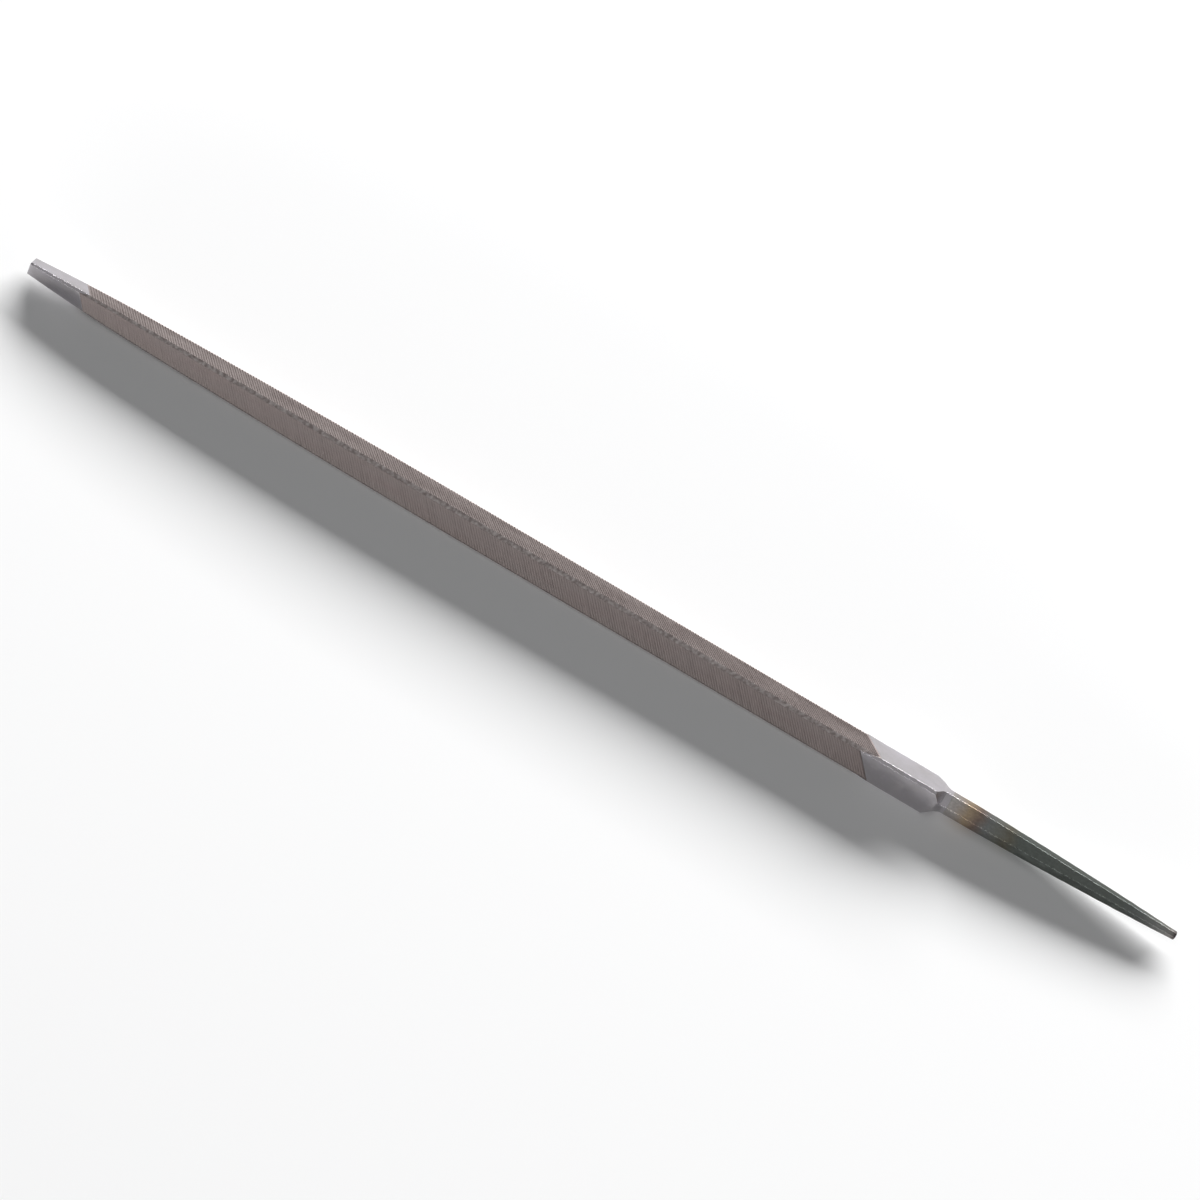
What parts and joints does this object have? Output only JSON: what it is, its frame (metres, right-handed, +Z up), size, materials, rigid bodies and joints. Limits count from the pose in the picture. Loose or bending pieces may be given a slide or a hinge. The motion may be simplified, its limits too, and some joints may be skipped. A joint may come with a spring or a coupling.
{
  "type": "triangular file",
  "caption": "Slim triangular single-cut hand file for metal, tapering to a blunt point, with a bare tapered tang and no handle.",
  "frame": {"origin": "on the surface the file lies on, below the middle of its overall length and of its width", "axes": "+X along the file from its point to its tang, +Z up from the face it lies on to the opposite edge, +Y completes the right-handed set"},
  "size_m": [0.191, 0.006, 0.0052],
  "materials": {
    "cut_steel": "hardened carbon steel with sharp single-cut teeth, sandblasted matt grey",
    "ground_steel": "bright ground carbon steel with fine grinding lines",
    "tang_steel": "soft tang: straw and brown temper colours at its root, then dark blue-grey heat scale, worn paler at the end"
  },
  "bodies": {
    "root": {"ground_point": "ground_steel", "toothed_blade": "cut_steel", "ground_heel": "ground_steel", "tang_shoulder": "ground_steel", "tang": "tang_steel"}
  },
  "joints": []
}
